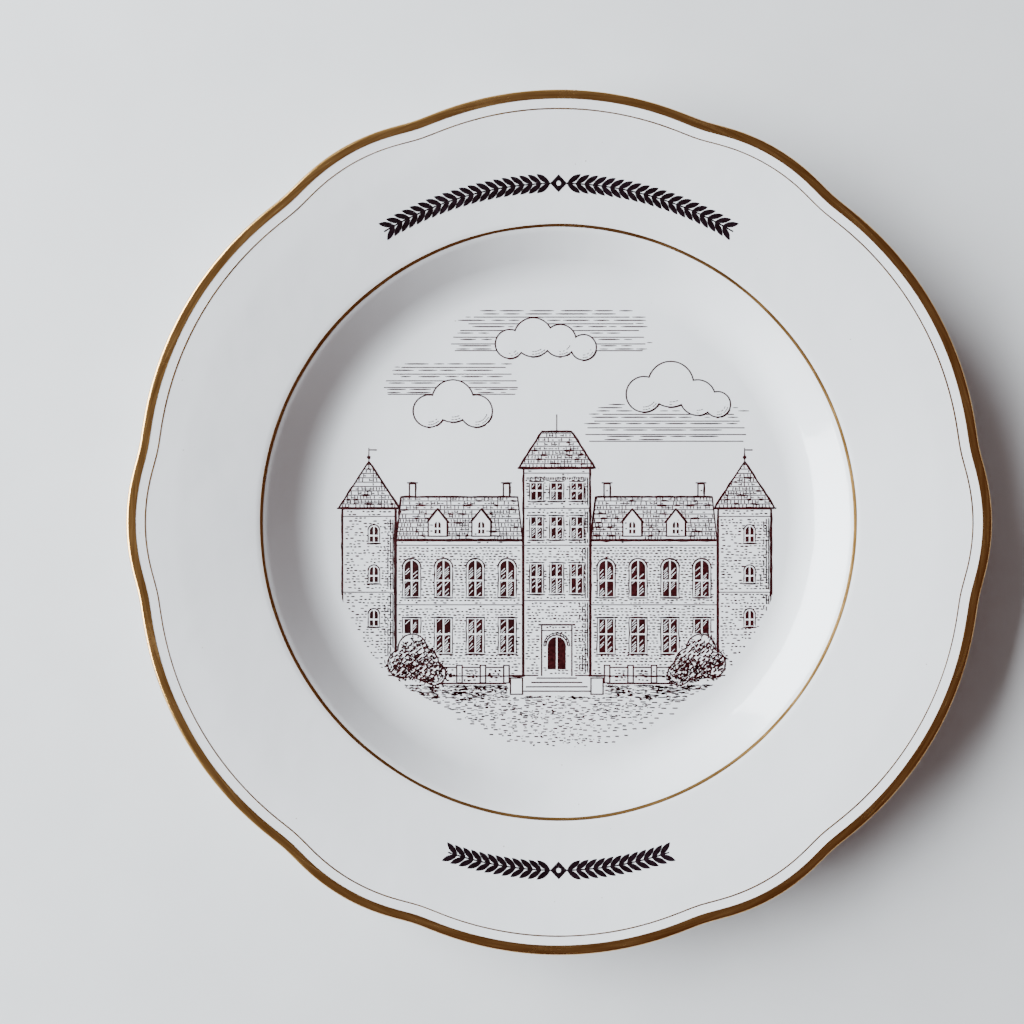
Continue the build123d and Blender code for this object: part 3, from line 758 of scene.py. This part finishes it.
class Recipe:
    """A node material built around one Principled shader, patterned in the plate's own coordinates."""

    def __init__(self, name):
        self.material = bpy.data.materials.new(name)
        self.material.use_nodes = True
        self.tree = self.material.node_tree
        self.shader = self.tree.nodes["Principled BSDF"]
        self.coords = self.tree.nodes.new("ShaderNodeTexCoord").outputs["Object"]

    def link(self, source, target):
        if isinstance(source, (int, float, tuple)):
            target.default_value = source
        else:
            self.tree.links.new(source, target)

    def noise(self, scale, detail=3.0, roughness=0.5, vector=None):
        node = self.tree.nodes.new("ShaderNodeTexNoise")
        node.inputs["Scale"].default_value = scale
        node.inputs["Detail"].default_value = detail
        node.inputs["Roughness"].default_value = roughness
        self.tree.links.new(vector or self.coords, node.inputs["Vector"])
        return node.outputs["Fac"]

    def spots(self, scale, size):
        """1 inside small scattered round spots, 0 elsewhere."""
        node = self.tree.nodes.new("ShaderNodeTexVoronoi")
        node.inputs["Scale"].default_value = scale
        self.tree.links.new(self.coords, node.inputs["Vector"])
        return self.span(node.outputs["Distance"], size, size * 0.6, 0.0, 1.0)

    def span(self, source, low, high, to_low, to_high):
        node = self.tree.nodes.new("ShaderNodeMapRange")
        self.tree.links.new(source, node.inputs["Value"])
        for key, value in (("From Min", low), ("From Max", high), ("To Min", to_low), ("To Max", to_high)):
            node.inputs[key].default_value = value
        return node.outputs["Result"]

    def math(self, kind, a, b):
        node = self.tree.nodes.new("ShaderNodeMath")
        node.operation = kind
        self.link(a, node.inputs[0])
        self.link(b, node.inputs[1])
        return node.outputs["Value"]

    def blend(self, share, first, second):
        node = self.tree.nodes.new("ShaderNodeMix")
        node.data_type = "RGBA"
        self.link(share, node.inputs["Factor"])
        sockets = [i for i in node.inputs if i.type == "RGBA"]
        self.link(first, sockets[0])
        self.link(second, sockets[1])
        return [o for o in node.outputs if o.type == "RGBA"][0]

    def round_the_plate(self, along, across):
        """Coordinates for streaks that follow the rim: slow round the plate and quick across it."""
        split = self.tree.nodes.new("ShaderNodeSeparateXYZ")
        self.tree.links.new(self.coords, split.inputs["Vector"])
        x, y, z = split.outputs
        squares = self.math("ADD", self.math("MULTIPLY", x, x), self.math("MULTIPLY", y, y))
        radius = self.math("SQRT", squares, 0.0)
        joined = self.tree.nodes.new("ShaderNodeCombineXYZ")
        self.link(self.math("MULTIPLY", self.math("DIVIDE", x, radius), along), joined.inputs["X"])
        self.link(self.math("MULTIPLY", self.math("DIVIDE", y, radius), along), joined.inputs["Y"])
        self.link(self.math("MULTIPLY", self.math("ADD", radius, z), across), joined.inputs["Z"])
        return joined.outputs["Vector"]

    def finish(self, color, roughness, height=None, depth=0.0, metallic=0.0):
        self.link(color, self.shader.inputs["Base Color"])
        self.link(roughness, self.shader.inputs["Roughness"])
        self.link(metallic, self.shader.inputs["Metallic"])
        if height is not None:
            bump = self.tree.nodes.new("ShaderNodeBump")
            bump.inputs["Strength"].default_value = 1.0
            bump.inputs["Distance"].default_value = depth
            self.tree.links.new(height, bump.inputs["Height"])
            self.tree.links.new(bump.outputs["Normal"], self.shader.inputs["Normal"])
        return self.material


def glaze_material():
    """Cool white glaze: cloudy by a hair, gently uneven, with a few fine specks."""
    r = Recipe("white_glaze")
    cloud = r.noise(18, 4)
    body = r.blend(r.span(cloud, 0.3, 0.7, 0.0, 1.0), (0.80, 0.80, 0.815, 1), (0.845, 0.85, 0.86, 1))
    rare = r.span(r.noise(45, 1), 0.62, 0.66, 0.0, 1.0)
    speck = r.math("MULTIPLY", r.spots(260, 0.07), rare)
    color = r.blend(r.math("MULTIPLY", speck, 0.65), body, (0.28, 0.22, 0.18, 1))
    roughness = r.span(r.noise(70, 3), 0.3, 0.7, 0.09, 0.15)
    swell = r.math("ADD", r.noise(55, 2), r.math("MULTIPLY", r.noise(420, 1), 0.06))
    return r.finish(color, roughness, swell, 0.00025)


def gold_material():
    """Burnished liquid gold, brushed round the rim, thin and brown in places."""
    r = Recipe("burnished_gold")
    streaks = r.noise(1.0, 4, 0.6, r.round_the_plate(9.0, 1500.0))
    tone = r.blend(r.span(streaks, 0.25, 0.75, 0.0, 1.0), (0.60, 0.32, 0.09, 1), (0.84, 0.53, 0.20, 1))
    worn = r.math("MULTIPLY", r.span(r.noise(55, 5), 0.56, 0.72, 0.0, 1.0),
                  r.span(r.noise(900, 2), 0.4, 0.6, 0.2, 1.0))
    color = r.blend(r.math("MULTIPLY", worn, 0.6), tone, (0.30, 0.14, 0.06, 1))
    roughness = r.math("ADD", r.span(streaks, 0.2, 0.8, 0.16, 0.30), r.math("MULTIPLY", worn, 0.12))
    return r.finish(color, roughness, streaks, 0.00004, metallic=1.0)


def ink_material(name, dark, light, roughness):
    """A fired transfer colour: dense in the middle of a stroke's run and thinner in patches."""
    r = Recipe(name)
    patches = r.span(r.noise(1100, 3), 0.35, 0.75, 0.0, 1.0)
    drift = r.span(r.noise(60, 2), 0.35, 0.65, 0.25, 1.0)
    color = r.blend(r.math("MULTIPLY", patches, drift), dark, light)
    r.shader.inputs["Specular IOR Level"].default_value = 0.25
    return r.finish(color, r.span(patches, 0.0, 1.0, roughness, roughness + 0.12), patches, 0.00001)


def biscuit_material():
    """Unglazed porcelain, ground dry and speckled grey where it has stood on shelves."""
    r = Recipe("bare_porcelain")
    grain = r.noise(900, 5, 0.6)
    clay = r.blend(r.span(grain, 0.3, 0.7, 0.0, 1.0), (0.66, 0.63, 0.58, 1), (0.78, 0.76, 0.72, 1))
    scuffed = r.math("MULTIPLY", r.span(r.noise(130, 4), 0.5, 0.7, 0.0, 1.0), 0.55)
    color = r.blend(scuffed, clay, (0.36, 0.34, 0.32, 1))
    return r.finish(color, r.span(grain, 0.2, 0.8, 0.62, 0.85), grain, 0.00006)


def floor_material():
    """Plain pale paper."""
    r = Recipe("pale_floor")
    fibre = r.noise(40, 3)
    color = r.blend(r.span(fibre, 0.3, 0.7, 0.0, 1.0), (0.70, 0.70, 0.70, 1), (0.73, 0.73, 0.73, 1))
    return r.finish(color, 0.7)


# ---------------------------------------------------------------- the plate, put together

glaze = glaze_material()
gold = gold_material()
view_ink = ink_material("view_ink", (0.012, 0.0005, 0.0009, 1), (0.052, 0.006, 0.008, 1), 0.3)
ornament_ink = ink_material("ornament_ink", (0.004, 0.001, 0.002, 1), (0.014, 0.005, 0.010, 1), 0.25)
bare_porcelain = biscuit_material()


def dress(piece, material):
    piece.data.materials.clear()
    piece.data.materials.append(material)
    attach(piece, "root")


dress(build_biscuit(), bare_porcelain)
for coat in build_glaze():
    dress(coat, glaze)
for gilding in build_gilding():
    dress(gilding, gold)
for build in (build_walls, build_outlines, build_openings, build_shade, build_roofs, build_sky, build_foliage,
              build_ground):
    build(view_ink)
build_glints(glaze)

for node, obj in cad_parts.items():
    finish = view_ink
    if node.startswith("ornament_"):
        finish = ornament_ink
    elif node.startswith("gilt_"):
        finish = gold
    elif node == "glaze_coat":
        finish = glaze
    elif node == "biscuit_body":
        finish = bare_porcelain
    obj.data.materials.clear()
    obj.data.materials.append(finish)

# ---------------------------------------------------------------- floor, light and camera

FLOOR_REACH = 4000.0
floor = new_mesh("pale_floor", [(-FLOOR_REACH, -FLOOR_REACH, 0), (FLOOR_REACH, -FLOOR_REACH, 0),
                                (FLOOR_REACH, FLOOR_REACH, 0), (-FLOOR_REACH, FLOOR_REACH, 0)],
                 [(0, 1, 2, 3)], smooth=False)
floor.data.materials.append(floor_material())

# One wide lamp on the left, in a room that is bright on that side and dark and warm on the other.
KEY_AZIMUTH = math.radians(167)
KEY_DISTANCE = 1.6
KEY_LOW, KEY_HIGH = math.radians(12), math.radians(42)
KEY_WIDTH = 1.27 * KEY_DISTANCE
KEY_POWER = 175.0
KEY_COLOR = (0.93, 1.0, 1.05)
BRIGHT_SIDE = (0.46, 0.47, 0.49, 1)
DARK_SIDE = (0.10, 0.05, 0.042, 1)

lamp = bpy.data.lights.new("window", "AREA")
lamp.shape = "RECTANGLE"
lamp.size = KEY_WIDTH
lamp.size_y = KEY_DISTANCE * (math.tan(KEY_HIGH) - math.tan(KEY_LOW))
lamp.energy = KEY_POWER
lamp.color = KEY_COLOR
key = bpy.data.objects.new("window", lamp)
bpy.context.collection.objects.link(key)
height = KEY_DISTANCE * (math.tan(KEY_HIGH) + math.tan(KEY_LOW)) / 2
key.location = (KEY_DISTANCE * math.cos(KEY_AZIMUTH), KEY_DISTANCE * math.sin(KEY_AZIMUTH), height)
key.rotation_euler = (-key.location).to_track_quat("-Z", "Y").to_euler()
key.visible_camera = False

world = bpy.data.worlds.new("room")
world.use_nodes = True
room = world.node_tree
looking = room.nodes.new("ShaderNodeTexCoord").outputs["Generated"]
across = room.nodes.new("ShaderNodeVectorMath")
across.operation = "DOT_PRODUCT"
across.inputs[1].default_value = (-0.9, 0.43, 0.0)
room.links.new(looking, across.inputs[0])
share = room.nodes.new("ShaderNodeMapRange")
share.interpolation_type = "SMOOTHSTEP"
share.inputs["From Min"].default_value = -0.25
share.inputs["From Max"].default_value = 0.85
room.links.new(across.outputs["Value"], share.inputs["Value"])
walls = room.nodes.new("ShaderNodeMix")
walls.data_type = "RGBA"
tones = [socket for socket in walls.inputs if socket.type == "RGBA"]
tones[0].default_value, tones[1].default_value = DARK_SIDE, BRIGHT_SIDE
room.links.new(share.outputs["Result"], walls.inputs["Factor"])
room.links.new([o for o in walls.outputs if o.type == "RGBA"][0], room.nodes["Background"].inputs["Color"])
bpy.context.scene.world = world

# The camera hangs over the plate, a little left of its middle, and looks straight down.
LENS = 34.65
CAMERA_PLACE = (-0.0133, 0.0029, 0.300)
eye = bpy.data.cameras.new("camera")
eye.sensor_width = 36.0
eye.lens = LENS
eye.clip_start = 0.01
camera = bpy.data.objects.new("camera", eye)
bpy.context.collection.objects.link(camera)
camera.location = CAMERA_PLACE
bpy.context.scene.camera = camera
